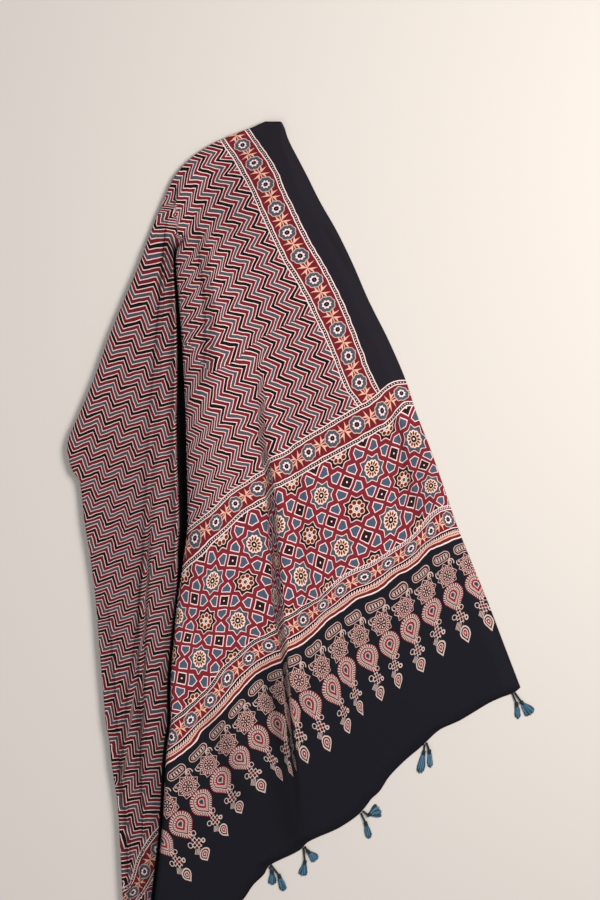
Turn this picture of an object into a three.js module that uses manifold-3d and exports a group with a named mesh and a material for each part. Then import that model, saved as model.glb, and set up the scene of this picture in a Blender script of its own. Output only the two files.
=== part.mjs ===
// A block-printed cotton dupatta (a long shawl) with tassels tied to its hem, laid out on a flat surface.
// Millimetres. +Z is up, +Y runs towards the shoulder end of the drape, and z = 0 is the surface.
// The cloth is one sheet. Every level section of it is one line: in from the right edge over the front
// panel, round the front fold, back under it as a hidden pleat, out again as the left panel, round the
// left outline, and then back and forth in the layers underneath.
import * as THREE from 'three';
import Module from 'manifold-3d';
import { mergeVertices } from 'three/addons/utils/BufferGeometryUtils.js';

const { clamp, lerp, smoothstep } = THREE.MathUtils;

// Sheet and layers
const THICKNESS = 1.2;
const LAYER_PITCH = 2.1;
const UNDER_LAYERS = 4;
const TOP_LAYER_Z = THICKNESS / 2 + LAYER_PITCH * (UNDER_LAYERS - 1);
const PANEL_Z = TOP_LAYER_Z + 3;

// Edges: the drape down to the surface on the right, the round fold of the left outline, and how far
// each layer underneath is drawn in from them, with a slow sway along the cloth
const EDGE_DRAPE = 24;
const EDGE_FOLD_REACH = 9;
const LEFT_PANEL_EDGE_Z = PANEL_Z + 5;
const RIGHT_INSETS = [34, 41, 32, 37];
const LEFT_INSETS = [15, 20, 14, 18];
const SWAY = 3;
const SWAY_LENGTH = 600;
// Sections narrower than these are drawn in less, and drape sooner
const FULL_INSET_SPAN = 145;
const DRAPE_SHARE = 0.12;

// Front fold and the pleat behind it
const PLEAT_LOWER_Z = PANEL_Z - 0.4;
const PLEAT_UPPER_Z = PLEAT_LOWER_Z + 2.4;
const PLEAT_TURN_REACH = 1.4;
const PLEAT_LIFT_REACH = 2.1;
const UNFOLDED_REACH = 17;
const WALL_REACH = 6;

// Stations along a section, between its edges, tucks and folds
const DRAPE_STEPS = 4;
const PANEL_STEPS = 5;
const RIB_STEPS = 3;
const LEFT_PANEL_STEPS = 2;
const LAYER_STEPS = 4;
// Stations across a tuck, in its widths from its centre line
const TUCK_STATIONS = [2.3, 1, -0.9, -2.3];
const TUCK_MARGIN = 3.4;
const TUCK_PANEL_SHARE = 0.05;

// The level sections, from the shoulder end down: x of the right edge, of the front fold and of the
// left outline. The right edge is the selvedge down to the corner at y = -199, then the slanting hem.
const sections = [
  { y: 594, right: -27, fold: -39, left: -50 },
  { y: 586, right: -23, fold: -54, left: -67 },
  { y: 576, right: -20, fold: -74, left: -94 },
  { y: 562, right: -14, fold: -98, left: -125 },
  { y: 543, right: -4, fold: -122, left: -153 },
  { y: 518, right: 9, fold: -143, left: -176 },
  { y: 484, right: 26, fold: -160, left: -192 },
  { y: 442, right: 50, fold: -170, left: -209 },
  { y: 397, right: 72, fold: -172, left: -225 },
  { y: 344, right: 95, fold: -169, left: -247 },
  { y: 288, right: 123, fold: -166, left: -270 },
  { y: 232, right: 147, fold: -163, left: -290 },
  { y: 186, right: 162, fold: -161, left: -309 },
  { y: 137, right: 181, fold: -160, left: -327 },
  { y: 106, right: 192, fold: -160, left: -320 },
  { y: 92, right: 197, fold: -160, left: -310 },
  { y: 36, right: 216, fold: -158, left: -303 },
  { y: -20, right: 238, fold: -164, left: -294 },
  { y: -76, right: 261, fold: -172, left: -287 },
  { y: -139, right: 285, fold: -178, left: -282 },
  { y: -199, right: 308, fold: -182, left: -277 },
  { y: -206, right: 299, fold: -182, left: -277 },
  { y: -219, right: 267, fold: -182, left: -276 },
  { y: -245, right: 223, fold: -182, left: -273 },
  { y: -273, right: 178, fold: -186, left: -268 },
  { y: -304, right: 143, fold: -189, left: -265 },
  { y: -336, right: 115, fold: -190, left: -260 },
  { y: -367, right: 90, fold: -192, left: -256 },
  { y: -395, right: 55, fold: -195, left: -254 },
  { y: -418, right: 7, fold: -196, left: -253 },
  { y: -444, right: -36, fold: -199, left: -251 },
  { y: -468, right: -59, fold: -202, left: -250 },
  { y: -495, right: -80, fold: -204, left: -249 },
  { y: -538, right: -120, fold: -209, left: -245 },
  { y: -577, right: -168, fold: -212, left: -240 },
  { y: -594, right: -180, fold: -211, left: -238 },
];

// How the front fold opens on its way down: 0 is a flat sheet and 1 a full fold, with its height above
// the surface, the depth of the pleat behind it, and the dark gap between it and the left panel.
const foldShape = [
  { y: 442, folded: 0, height: 22, depth: 40, gap: 0, wall: 14 },
  { y: 400, folded: 1, height: 24, depth: 42, gap: 1, wall: 19 },
  { y: 322, folded: 1, height: 27, depth: 50, gap: 4, wall: 23 },
  { y: 241, folded: 1, height: 29, depth: 60, gap: 9, wall: 25 },
  { y: 161, folded: 1, height: 30, depth: 66, gap: 13, wall: 26 },
  { y: -20, folded: 1, height: 30, depth: 72, gap: 13, wall: 25 },
  { y: -70, folded: 1, height: 27, depth: 74, gap: 2, wall: 18 },
  { y: -300, folded: 1, height: 24, depth: 70, gap: 1, wall: 14 },
  { y: -594, folded: 1, height: 22, depth: 40, gap: 1, wall: 13 },
];

// Tucks: narrow soft folds that run down the cloth, a ridge with a trough on its right, on a broad swell.
const ribTuck = {
  width: 9,
  height: 7,
  path: [
    { y: 464, x: -141, share: 0 },
    { y: 407, x: -136, share: 0.8 },
    { y: 323, x: -127, share: 1 },
    { y: 256, x: -127, share: 1 },
    { y: 204, x: -137, share: 0 },
  ],
};
const pinchTuck = {
  width: 11,
  height: 10,
  path: [
    { y: 243, x: -64, share: 0 },
    { y: 166, x: -52, share: 0.7 },
    { y: 92, x: -43, share: 1 },
    { y: -34, x: -41, share: 1 },
    { y: -159, x: -24, share: 0.9 },
    { y: -261, x: -14, share: 0.7 },
    { y: -320, x: -10, share: 0 },
  ],
};
const outerTuck = {
  width: 6,
  height: 4,
  path: [
    { y: -20, x: -272, share: 0 },
    { y: -139, x: -260, share: 0.9 },
    { y: -304, x: -250, share: 1 },
    { y: -495, x: -240, share: 0.8 },
    { y: -594, x: -228, share: 0 },
  ],
};
const sleeveTuck = {
  width: 8,
  height: 5,
  path: [
    { y: 483, x: -185, share: 0 },
    { y: 378, x: -192, share: 0.8 },
    { y: 151, x: -206, share: 0.8 },
    { y: 14, x: -213, share: 1 },
    { y: -139, x: -226, share: 1 },
    { y: -304, x: -233, share: 0.7 },
    { y: -495, x: -234, share: 0.4 },
    { y: -594, x: -222, share: 0 },
  ],
};

// Value of a column at height y, in a table whose rows run downwards.
function columnAt(table, column, y) {
  if (y >= table[0].y) return table[0][column];
  for (let i = 1; i < table.length; i += 1) {
    const above = table[i - 1];
    const below = table[i];
    if (y >= below.y) {
      return lerp(below[column], above[column], (y - below.y) / (above.y - below.y));
    }
  }
  return table[table.length - 1][column];
}

// Centre line, width and height of a tuck in one section. Above and below the tuck its stations stay in
// the sheet, held between from and to.
function tuckAt(tuck, y, from, to) {
  const width = Math.min(tuck.width, (to - from) * TUCK_PANEL_SHARE);
  const margin = width * TUCK_MARGIN;
  return {
    width,
    x: clamp(columnAt(tuck.path, 'x', y), from + margin, to - margin),
    height: tuck.height * columnAt(tuck.path, 'share', y),
  };
}

function tuckRelief(tuck, x) {
  const d = (x - tuck.x) / tuck.width;
  const swell = 0.6 * Math.exp(-((d / 3) ** 2));
  return tuck.height * (swell + 0.7 * Math.exp(-((d + 1) ** 2)) - 0.6 * Math.exp(-((d - 1) ** 2)));
}

function reliefOf(tucks, x) {
  return tucks.reduce((sum, tuck) => sum + tuckRelief(tuck, x), 0);
}

// The stations across a tuck after its first one, from right to left.
function across(tuck) {
  return TUCK_STATIONS.slice(1).map((d) => tuck.x + d * tuck.width);
}

// Stations spread evenly from one x to the next, the first one left out.
function steps(fromX, toX, count) {
  return Array.from({ length: count }, (_, i) => lerp(fromX, toX, (i + 1) / count));
}

function point(x, z) {
  return new THREE.Vector2(x, z);
}

// Sizes that every part of one section shares.
function measures(section) {
  const { y, right, fold, left } = section;
  const span = right - left;
  return {
    y,
    right,
    fold,
    left,
    drape: Math.min(EDGE_DRAPE, span * DRAPE_SHARE),
    insetShare: Math.min(1, span / FULL_INSET_SPAN),
    leftReach: Math.min(EDGE_FOLD_REACH, (fold - left) * 0.3),
    unfoldedLeft: Math.min(UNFOLDED_REACH, (fold - left) * 0.4),
    unfoldedRight: UNFOLDED_REACH * Math.min(1, span / FULL_INSET_SPAN),
    folded: smoothstep(columnAt(foldShape, 'folded', y), 0, 1),
    foldTop: columnAt(foldShape, 'height', y),
    depth: Math.min(columnAt(foldShape, 'depth', y), (right - fold) * 0.55),
    gap: columnAt(foldShape, 'gap', y),
    wall: columnAt(foldShape, 'wall', y),
  };
}

// Height of the front panel: level over the layers, lifted over the pleat, down to the surface at its edge.
function frontHeight(m, tucks, x) {
  const beyond = clamp((x - m.fold) / (m.depth * PLEAT_LIFT_REACH), 0, 1);
  const lift = (m.foldTop - PANEL_Z) * m.folded * 0.5 * (1 + Math.cos(Math.PI * beyond));
  const relief = reliefOf(tucks, x);
  const edge = smoothstep(m.right - x, 0, m.drape);
  return lerp(THICKNESS / 2, PANEL_Z + lift + relief, edge);
}

function frontPanel(m) {
  const foldRadius = (m.foldTop - PLEAT_UPPER_Z) / 2;
  const inner = m.fold + lerp(m.unfoldedRight, foldRadius, m.folded);
  const outer = m.right - m.drape * 1.25;
  const between = lerp(inner, outer, 0.29);
  const rib = tuckAt(ribTuck, m.y, inner, between);
  const pinch = tuckAt(pinchTuck, m.y, between, outer);
  const xs = [
    m.right,
    ...steps(m.right, outer, DRAPE_STEPS),
    ...steps(outer, pinch.x + pinch.width * TUCK_STATIONS[0], PANEL_STEPS),
    ...across(pinch),
    ...steps(across(pinch).at(-1), rib.x + rib.width * TUCK_STATIONS[0], RIB_STEPS),
    ...across(rib),
  ];
  return xs.map((x) => point(x, frontHeight(m, [rib, pinch], x)));
}

// The front fold, the pleat behind it and the wall up to the left panel. Further up, where the fold
// dies out, the same stations spread into a flat sheet.
function pleat(m) {
  const r = (m.foldTop - PLEAT_UPPER_Z) / 2;
  const diagonal = Math.SQRT1_2;
  const turn = m.fold + m.depth;
  const folded = [
    point(m.fold + r, m.foldTop),
    point(m.fold + r * (1 - diagonal), m.foldTop - r * (1 - diagonal)),
    point(m.fold, m.foldTop - r),
    point(m.fold + r * (1 - diagonal), PLEAT_UPPER_Z + r * (1 - diagonal)),
    point(m.fold + r, PLEAT_UPPER_Z),
    point(m.fold + m.depth * 0.5, PLEAT_UPPER_Z),
    point(turn - PLEAT_TURN_REACH, PLEAT_UPPER_Z),
    point(turn, (PLEAT_UPPER_Z + PLEAT_LOWER_Z) / 2),
    point(turn - PLEAT_TURN_REACH, PLEAT_LOWER_Z),
    point(m.fold + m.depth * 0.5, PLEAT_LOWER_Z),
    point(m.fold + 3, PLEAT_LOWER_Z),
    point(m.fold - m.gap * 0.5, PLEAT_LOWER_Z),
    point(m.fold - m.gap - 1, PLEAT_LOWER_Z + 2),
    point(m.fold - m.gap - 3, (PLEAT_LOWER_Z + m.wall) / 2),
    point(m.fold - m.gap - WALL_REACH, m.wall),
  ];
  return folded.map((p, i) => {
    const t = i / (folded.length - 1);
    const flat = point(m.fold + lerp(m.unfoldedRight, -m.unfoldedLeft, t), PANEL_Z);
    return flat.lerp(p, m.folded);
  });
}

// The left panel falls away to the left outline, and turns under in a round fold.
function leftPanel(m) {
  const edgeZ = lerp(PANEL_Z, LEFT_PANEL_EDGE_Z, m.folded);
  const from = m.left + m.leftReach;
  const to = m.fold - lerp(m.unfoldedLeft, m.gap + WALL_REACH, m.folded);
  const between = lerp(from, to, 0.48);
  const sleeve = tuckAt(sleeveTuck, m.y, between, to);
  const outer = tuckAt(outerTuck, m.y, from, between);
  const xs = [
    ...steps(to, sleeve.x + sleeve.width * TUCK_STATIONS[0], LEFT_PANEL_STEPS),
    ...across(sleeve),
    ...steps(across(sleeve).at(-1), outer.x + outer.width * TUCK_STATIONS[0], LEFT_PANEL_STEPS),
    ...across(outer),
    from,
  ];
  const wall = lerp(PANEL_Z, m.wall, m.folded);
  const panel = xs.map((x) => {
    const t = smoothstep((to - x) / (to - from), 0, 1);
    return point(x, lerp(wall, edgeZ, t) + reliefOf([sleeve, outer], x));
  });
  const middle = (edgeZ + TOP_LAYER_Z) / 2;
  const fold = [
    point(m.left + m.leftReach * 0.28, lerp(middle, edgeZ, 0.72)),
    point(m.left, middle),
    point(m.left + m.leftReach * 0.28, lerp(middle, TOP_LAYER_Z, 0.72)),
    point(m.left + m.leftReach, TOP_LAYER_Z),
  ];
  return [...panel, ...fold];
}

// The layers underneath, back and forth, lying flat and drawn in from the outline so that none shows
// from above. The lowest one ends in the free edge.
function underLayers(m) {
  const turn = LAYER_PITCH / 2;
  const sway = (i) => SWAY * Math.sin((2 * Math.PI * m.y) / SWAY_LENGTH + 2 * i);
  const rightEnd = (i) => m.right - (RIGHT_INSETS[i] - sway(i)) * m.insetShare;
  const leftEnd = (i) => m.left + (LEFT_INSETS[i] - sway(i)) * m.insetShare;
  const points = [];
  for (let i = 0; i < UNDER_LAYERS; i += 1) {
    const z = TOP_LAYER_Z - i * LAYER_PITCH;
    const toRight = i % 2 === 0;
    const start = i === 0 ? m.left + m.leftReach : points.at(-1).x;
    const end = toRight ? rightEnd(i) : leftEnd(i);
    const side = toRight ? 1 : -1;
    points.push(...steps(start, end, LAYER_STEPS).map((x) => point(x, z)));
    if (i < UNDER_LAYERS - 1) {
      points.push(point(end + side * turn, z - turn));
      points.push(point(end, z - LAYER_PITCH));
    }
  }
  return points;
}

function midline(section) {
  const m = measures(section);
  return [...frontPanel(m), ...pleat(m), ...leftPanel(m), ...underLayers(m)];
}

// Both faces of the sheet at one section: each point of the line moved half a thickness to either side,
// square to the line's direction there, and a little more where it bends, so that the sheet stays as thick.
const LEAST_MITRE = 0.75;

function faces(line) {
  return line.map((p, i) => {
    const before = line[Math.max(i - 1, 0)];
    const after = line[Math.min(i + 1, line.length - 1)];
    const arriving = p.clone().sub(before).normalize();
    const leaving = after.clone().sub(p).normalize();
    const direction = arriving.add(leaving).normalize();
    const mitre = Math.max(direction.dot(i > 0 ? p.clone().sub(before).normalize() : direction), LEAST_MITRE);
    const offset = point(-direction.y, direction.x).multiplyScalar(THICKNESS / 2 / mitre);
    return [p.clone().sub(offset), p.clone().add(offset)];
  });
}

// A closed sheet over all sections: two grids, joined along their rim.
function sheetGeometry(table) {
  const rows = table.map((section) => faces(midline(section)));
  const columns = rows[0].length;
  const positions = [];
  for (const side of [0, 1]) {
    rows.forEach((row, r) => {
      row.forEach((pair) => positions.push(pair[side].x, table[r].y, Math.max(pair[side].y, 0)));
    });
  }
  const index = (side, r, c) => (side * rows.length + r) * columns + c;
  const triangles = [];
  const quad = (a, b, c, d) => triangles.push(a, b, c, a, c, d);
  for (let r = 0; r < rows.length - 1; r += 1) {
    for (let c = 0; c < columns - 1; c += 1) {
      quad(index(0, r, c), index(0, r, c + 1), index(0, r + 1, c + 1), index(0, r + 1, c));
      quad(index(1, r, c), index(1, r + 1, c), index(1, r + 1, c + 1), index(1, r, c + 1));
    }
    quad(index(0, r, 0), index(0, r + 1, 0), index(1, r + 1, 0), index(1, r, 0));
    const end = columns - 1;
    quad(index(0, r, end), index(1, r, end), index(1, r + 1, end), index(0, r + 1, end));
  }
  for (let c = 0; c < columns - 1; c += 1) {
    const foot = rows.length - 1;
    quad(index(0, 0, c), index(1, 0, c), index(1, 0, c + 1), index(0, 0, c + 1));
    quad(index(0, foot, c), index(0, foot, c + 1), index(1, foot, c + 1), index(1, foot, c));
  }
  const geometry = new THREE.BufferGeometry();
  geometry.setAttribute('position', new THREE.Float32BufferAttribute(positions, 3));
  geometry.setIndex(triangles);
  return geometry;
}

// Tassels: soft cotton strands bound round a small head, tied to the hem by a short black thread.
const HEAD_LENGTH = 7;
const HEAD_WIDTH = 5.4;
const HEAD_HEIGHT = 4.2;
const THREAD_WIDTH = 1.3;
const THREAD_GAP = 1.7;
const LOCKS = 7;
const LOCK_HEIGHT = 2;

// One row for each tassel, in pairs along the hem: the height at which its thread leaves the hem, where
// its head starts, which way (degrees from +X) and how far it lies, and how wide it spreads at the tips.
const tassels = [
  { hemY: -206.4, headX: 308, headY: -218, heading: -51, length: 25, spread: 16 },
  { hemY: -207.8, headX: 302.5, headY: -219.5, heading: -85, length: 24, spread: 8 },
  { hemY: -279.2, headX: 173, headY: -287.5, heading: -101, length: 33, spread: 11 },
  { hemY: -276.6, headX: 180, headY: -286, heading: -87, length: 26, spread: 7.5 },
  { hemY: -372.8, headX: 92.5, headY: -379.5, heading: 26, length: 21, spread: 20 },
  { hemY: -375.6, headX: 90, headY: -387, heading: -76, length: 25, spread: 9 },
  { hemY: -422.4, headX: 8.2, headY: -427.5, heading: -48, length: 20, spread: 14 },
  { hemY: -424.4, headX: 6, headY: -441.5, heading: -100, length: 23, spread: 12 },
  { hemY: -450.5, headX: -41, headY: -455.5, heading: -88, length: 21, spread: 12 },
  { hemY: -448.2, headX: -31.5, headY: -461, heading: -72, length: 25, spread: 10 },
  { hemY: -516.8, headX: -93, headY: -524, heading: -66, length: 26, spread: 12 },
  { hemY: -520.3, headX: -101.5, headY: -528.5, heading: -102, length: 27, spread: 11 },
  { hemY: -559.8, headX: -143.5, headY: -565, heading: -42, length: 24, spread: 13 },
  { hemY: -562.4, headX: -151, headY: -568, heading: -96, length: 19, spread: 10 },
];

const manifold = await Module();
manifold.setup();

function solidFrom(geometry) {
  const bare = geometry.clone();
  bare.deleteAttribute('normal');
  bare.deleteAttribute('uv');
  const merged = mergeVertices(bare, 1e-4);
  return new manifold.Manifold(
    new manifold.Mesh({
      numProp: 3,
      vertProperties: new Float32Array(merged.attributes.position.array),
      triVerts: new Uint32Array(merged.index.array),
    }),
  );
}

function geometryFrom(solid) {
  const mesh = solid.getMesh();
  const geometry = new THREE.BufferGeometry();
  geometry.setAttribute('position', new THREE.Float32BufferAttribute(mesh.vertProperties, 3));
  geometry.setIndex(Array.from(mesh.triVerts));
  return geometry;
}

// A bar with a triangular section lying on its flat side, through rings of { x, y, z, width, height }.
// Each ring is turned to face along the bar.
function bar(rings) {
  const positions = [];
  rings.forEach((ring, i) => {
    const before = rings[Math.max(i - 1, 0)];
    const after = rings[Math.min(i + 1, rings.length - 1)];
    const angle = Math.atan2(after.y - before.y, after.x - before.x);
    const sideX = (-Math.sin(angle) * ring.width) / 2;
    const sideY = (Math.cos(angle) * ring.width) / 2;
    positions.push(ring.x + sideX, ring.y + sideY, ring.z);
    positions.push(ring.x - sideX, ring.y - sideY, ring.z);
    positions.push(ring.x, ring.y, ring.z + ring.height);
  });
  const triangles = [0, 1, 2];
  for (let i = 0; i < rings.length - 1; i += 1) {
    for (let k = 0; k < 3; k += 1) {
      const a = i * 3 + k;
      const b = i * 3 + ((k + 1) % 3);
      triangles.push(a, b + 3, b, a, a + 3, b + 3);
    }
  }
  const last = (rings.length - 1) * 3;
  triangles.push(last, last + 2, last + 1);
  const geometry = new THREE.BufferGeometry();
  geometry.setAttribute('position', new THREE.Float32BufferAttribute(positions, 3));
  geometry.setIndex(triangles);
  return geometry;
}

// The head is a short barrel lying on its side, flattened where it rests.
function headGeometry(row, angle) {
  const profile = [
    new THREE.Vector2(0, 0),
    new THREE.Vector2(0.6, 0),
    new THREE.Vector2(1, 0.4),
    new THREE.Vector2(0.85, 1),
    new THREE.Vector2(0, 1),
  ];
  const geometry = new THREE.LatheGeometry(profile, 8, Math.PI / 8);
  geometry.scale(HEAD_WIDTH / 2, HEAD_LENGTH, HEAD_HEIGHT / 2 / Math.cos(Math.PI / 8));
  geometry.rotateZ(angle - Math.PI / 2);
  geometry.translate(row.headX, row.headY, HEAD_HEIGHT / 2);
  return geometry;
}

// One lock of the skirt, from inside the head out to its tip, at -1 to 1 across the skirt.
function lockGeometry(row, angle, across) {
  const start = HEAD_LENGTH * 0.75;
  const bend = 1 - 0.14 * across * across;
  const rings = [
    { t: 0, width: 0.9, height: LOCK_HEIGHT },
    { t: 0.6, width: 1.8, height: LOCK_HEIGHT },
    { t: 1, width: 1, height: LOCK_HEIGHT * 0.6 },
  ].map(({ t, width, height }) => {
    const along = start + (row.length - start) * t * bend;
    const rootSpread = HEAD_WIDTH * 0.34;
    const aside = across * lerp(rootSpread, row.spread / 2, t ** 0.8);
    const scale = Math.min(1, row.spread / 14 + 0.15);
    return {
      x: row.headX + Math.cos(angle) * along - Math.sin(angle) * aside,
      y: row.headY + Math.sin(angle) * along + Math.cos(angle) * aside,
      z: 0,
      width: width * scale,
      height,
    };
  });
  return bar(rings);
}

function threadGeometry(row, angle) {
  const into = 2;
  const hemX = columnAt(sections, 'right', row.hemY) + THREAD_GAP;
  return bar([
    { x: hemX, y: row.hemY, z: 0, width: THREAD_WIDTH, height: THREAD_WIDTH },
    {
      x: row.headX + Math.cos(angle) * into,
      y: row.headY + Math.sin(angle) * into,
      z: 0.4,
      width: THREAD_WIDTH,
      height: THREAD_WIDTH,
    },
  ]);
}

function tasselGeometry(row) {
  const angle = THREE.MathUtils.degToRad(row.heading);
  const locks = Array.from({ length: LOCKS }, (_, i) => lerp(-1, 1, i / (LOCKS - 1)));
  const pieces = [
    headGeometry(row, angle),
    threadGeometry(row, angle),
    ...locks.map((across) => lockGeometry(row, angle, across)),
  ];
  const joined = pieces.map(solidFrom).reduce((whole, piece) => whole.add(piece));
  return geometryFrom(joined);
}

const printedCotton = new THREE.MeshStandardMaterial({ color: 0x6e2a33, roughness: 0.85, metalness: 0 });
const blueCotton = new THREE.MeshStandardMaterial({ color: 0x2f5573, roughness: 0.8, metalness: 0 });

const dupatta = new THREE.Group();

const cloth = new THREE.Mesh(sheetGeometry(sections), printedCotton);
cloth.name = 'cloth';
dupatta.add(cloth);

tassels.forEach((row, i) => {
  const tassel = new THREE.Mesh(tasselGeometry(row), blueCotton);
  tassel.name = `tassel_${String(i + 1).padStart(2, '0')}`;
  dupatta.add(tassel);
});

export default dupatta;
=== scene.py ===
import math

import bmesh
import bpy
import numpy as np
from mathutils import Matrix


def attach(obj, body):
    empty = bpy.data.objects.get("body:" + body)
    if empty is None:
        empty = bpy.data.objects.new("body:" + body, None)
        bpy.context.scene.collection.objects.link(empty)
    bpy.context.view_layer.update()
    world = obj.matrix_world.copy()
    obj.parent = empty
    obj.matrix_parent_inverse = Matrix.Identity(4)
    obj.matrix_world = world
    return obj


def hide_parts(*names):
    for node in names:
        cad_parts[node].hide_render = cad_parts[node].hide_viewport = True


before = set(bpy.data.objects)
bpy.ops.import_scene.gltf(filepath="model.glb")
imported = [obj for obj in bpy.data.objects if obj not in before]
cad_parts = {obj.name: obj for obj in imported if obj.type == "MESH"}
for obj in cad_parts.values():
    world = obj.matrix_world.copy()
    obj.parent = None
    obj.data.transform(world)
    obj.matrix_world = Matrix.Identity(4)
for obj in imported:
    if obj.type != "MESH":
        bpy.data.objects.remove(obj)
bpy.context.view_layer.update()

MM = 0.001

# The camera looks straight down on the cloth. Its frame at the cloth's height is 840 mm wide and
# 1260 mm high, at 1.4 mm a pixel.
SCALE = 1.4
VIEW_CENTRE = (-1.4, 134.0)
VIEW_HEIGHT = 900 * SCALE
CLOTH_TOP = 10.0
LENS = 85.0
SENSOR = 36.0

camera_data = bpy.data.cameras.new("camera")
camera_data.lens = LENS
camera_data.sensor_width = SENSOR
camera_data.clip_end = 20
camera = bpy.data.objects.new("camera", camera_data)
bpy.context.collection.objects.link(camera)
camera_rise = VIEW_HEIGHT * LENS / SENSOR + CLOTH_TOP
camera.location = (VIEW_CENTRE[0] * MM, VIEW_CENTRE[1] * MM, camera_rise * MM)
bpy.context.scene.camera = camera
bpy.context.scene.view_settings.view_transform = "Standard"


# Shader maths as Python expressions: a Socket wraps one output, and sums and products of Sockets and
# numbers add Math nodes to its tree.
class Socket:
    def __init__(self, shader, output):
        self.shader = shader
        self.output = output

    def maths(self, operation, *others, clamp=False):
        return self.shader.node("Math", {"operation": operation, "use_clamp": clamp}, self, *others)[0]

    def __add__(self, other):
        return self.maths("ADD", other)

    def __sub__(self, other):
        return self.maths("SUBTRACT", other)

    def __rsub__(self, other):
        return self.shader.value(other).maths("SUBTRACT", self)

    def __mul__(self, other):
        return self.maths("MULTIPLY", other)

    def __truediv__(self, other):
        return self.maths("DIVIDE", other)

    def __mod__(self, other):
        return self.maths("FLOORED_MODULO", other)

    def __lt__(self, other):
        return self.maths("LESS_THAN", other)

    def __gt__(self, other):
        return self.maths("GREATER_THAN", other)

    def __abs__(self):
        return self.maths("ABSOLUTE")

    __radd__ = __add__
    __rmul__ = __mul__


class Shader:
    """A material's node tree, with a method for any node."""
    def __init__(self, name):
        self.material = bpy.data.materials.new(name)
        self.material.use_nodes = True
        self.tree = self.material.node_tree
        self.tree.nodes.clear()

    def node(self, kind, settings=None, *values, **named):
        made = self.tree.nodes.new(f"ShaderNode{kind}")
        for key, setting in (settings or {}).items():
            setattr(made, key, setting)
        sockets = list(enumerate(values)) + [(key.replace("_", " "), value) for key, value in named.items()]
        for key, value in sockets:
            if isinstance(value, Socket):
                self.tree.links.new(value.output, made.inputs[key])
            elif value is not None:
                made.inputs[key].default_value = value
        return [Socket(self, output) for output in made.outputs]

    def value(self, number):
        return self.node("Math", {"operation": "ADD"}, number, 0.0)[0]

    def mix(self, share, under, over):
        """The colour under, with a share of the colour over."""
        made = self.node("Mix", {"data_type": "RGBA"})[2]
        for slot, value in ((0, share), (6, under), (7, over)):
            if isinstance(value, Socket):
                self.tree.links.new(value.output, made.output.node.inputs[slot])
            else:
                made.output.node.inputs[slot].default_value = value
        return made

    def stack(self, colour, *layers):
        """Colour with layers of (mask, colour) over it, the last on top."""
        for mask, over in layers:
            colour = self.mix(mask, colour, over)
        return colour

    def finish(self, surface):
        output = self.tree.nodes.new("ShaderNodeOutputMaterial")
        self.tree.links.new(surface.output, output.inputs["Surface"])
        return self.material


def linear(red, green, blue):
    """A shader colour from screen values of 0 to 255."""
    channels = [c / 255 for c in (red, green, blue)]
    return [c / 12.92 if c <= 0.04045 else ((c + 0.055) / 1.055) ** 2.4 for c in channels] + [1.0]


# The floor is a plain pale board. A large soft lamp lights it from the upper right, a wider and weaker one
# from the lower left, and a grey sky from all round.
FLOOR_SIZE = 12.0
FLOOR_COLOUR = linear(222, 214, 206)

bm = bmesh.new()
bmesh.ops.create_grid(bm, x_segments=1, y_segments=1, size=FLOOR_SIZE / 2)
floor_mesh = bpy.data.meshes.new("floor")
bm.to_mesh(floor_mesh)
bm.free()
floor = bpy.data.objects.new("floor", floor_mesh)
bpy.context.collection.objects.link(floor)
shader = Shader("floor_paint")
paint = shader.node("BsdfPrincipled", None, Base_Color=FLOOR_COLOUR, Roughness=0.9)[0]
floor_mesh.materials.append(shader.finish(paint))


def add_lamp(name, place, size, power, colour):
    data = bpy.data.lights.new(name, "AREA")
    data.shape = "DISK"
    data.size = size
    data.energy = power
    data.color = colour
    lamp = bpy.data.objects.new(name, data)
    bpy.context.collection.objects.link(lamp)
    lamp.location = place
    towards = -lamp.location
    lamp.rotation_euler = towards.to_track_quat("-Z", "Y").to_euler()


add_lamp("key", place=(1.15, 0.7, 1.7), size=1.0, power=40, colour=(1.0, 0.97, 0.94))
add_lamp("fill", place=(-1.6, -1.2, 2.8), size=2.6, power=22, colour=(0.95, 0.97, 1.0))
SKY_COLOUR = (0.9, 0.92, 0.95, 1)
SKY_STRENGTH = 0.35
world = bpy.data.worlds.new("studio")
world.use_nodes = True
world.node_tree.nodes["Background"].inputs["Color"].default_value = SKY_COLOUR
world.node_tree.nodes["Background"].inputs["Strength"].default_value = SKY_STRENGTH
bpy.context.scene.world = world


# The cloth is one length of fine cotton, block printed, with a selvedge down each side and a narrow
# rolled hem across its end. It lies folded: a front panel, a pleat behind the front fold, a left panel,
# and the rest of its length back and forth underneath. Each level section of it is one line, in mm.
SHEET = 0.9

# Levels of the layers underneath, of the panels on them and of the pleat
LAYER_PITCH = 2.1
UNDER_LAYERS = 4
LOWEST_Z = SHEET / 2
TOP_LAYER_Z = LOWEST_Z + LAYER_PITCH * (UNDER_LAYERS - 1)
PANEL_Z = TOP_LAYER_Z + 3
LEFT_EDGE_Z = PANEL_Z + 5
PLEAT_LOWER_Z = PANEL_Z - 0.4
PLEAT_UPPER_Z = PLEAT_LOWER_Z + 2.4

# How far the right edge drapes, and how far the folds and the wall beside the gap reach
EDGE_DRAPE = 24
DRAPE_SHARE = 0.12
FOLD_REACH = 9
UNFOLDED_REACH = 17
WALL_REACH = 4
PLEAT_LIFT_REACH = 2.1

# The most that the folds take of a narrow panel, and the share of each panel, from its fold on the front
# and from its edge on the left, where one tuck's ground ends and the next one's starts
FOLD_SHARE = 0.3
UNFOLDED_SHARE = 0.4
PLEAT_SHARE = 0.55
FRONT_GROUND = 0.29
LEFT_GROUND = 0.48

# How far the layers' ends lie in from the outline, and how they sway down the cloth
RIGHT_INSETS = [34, 41, 32, 37]
LEFT_INSETS = [15, 20, 14, 18]
FULL_INSET_SPAN = 145
SWAY = 3
SWAY_LENGTH = 600

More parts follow.
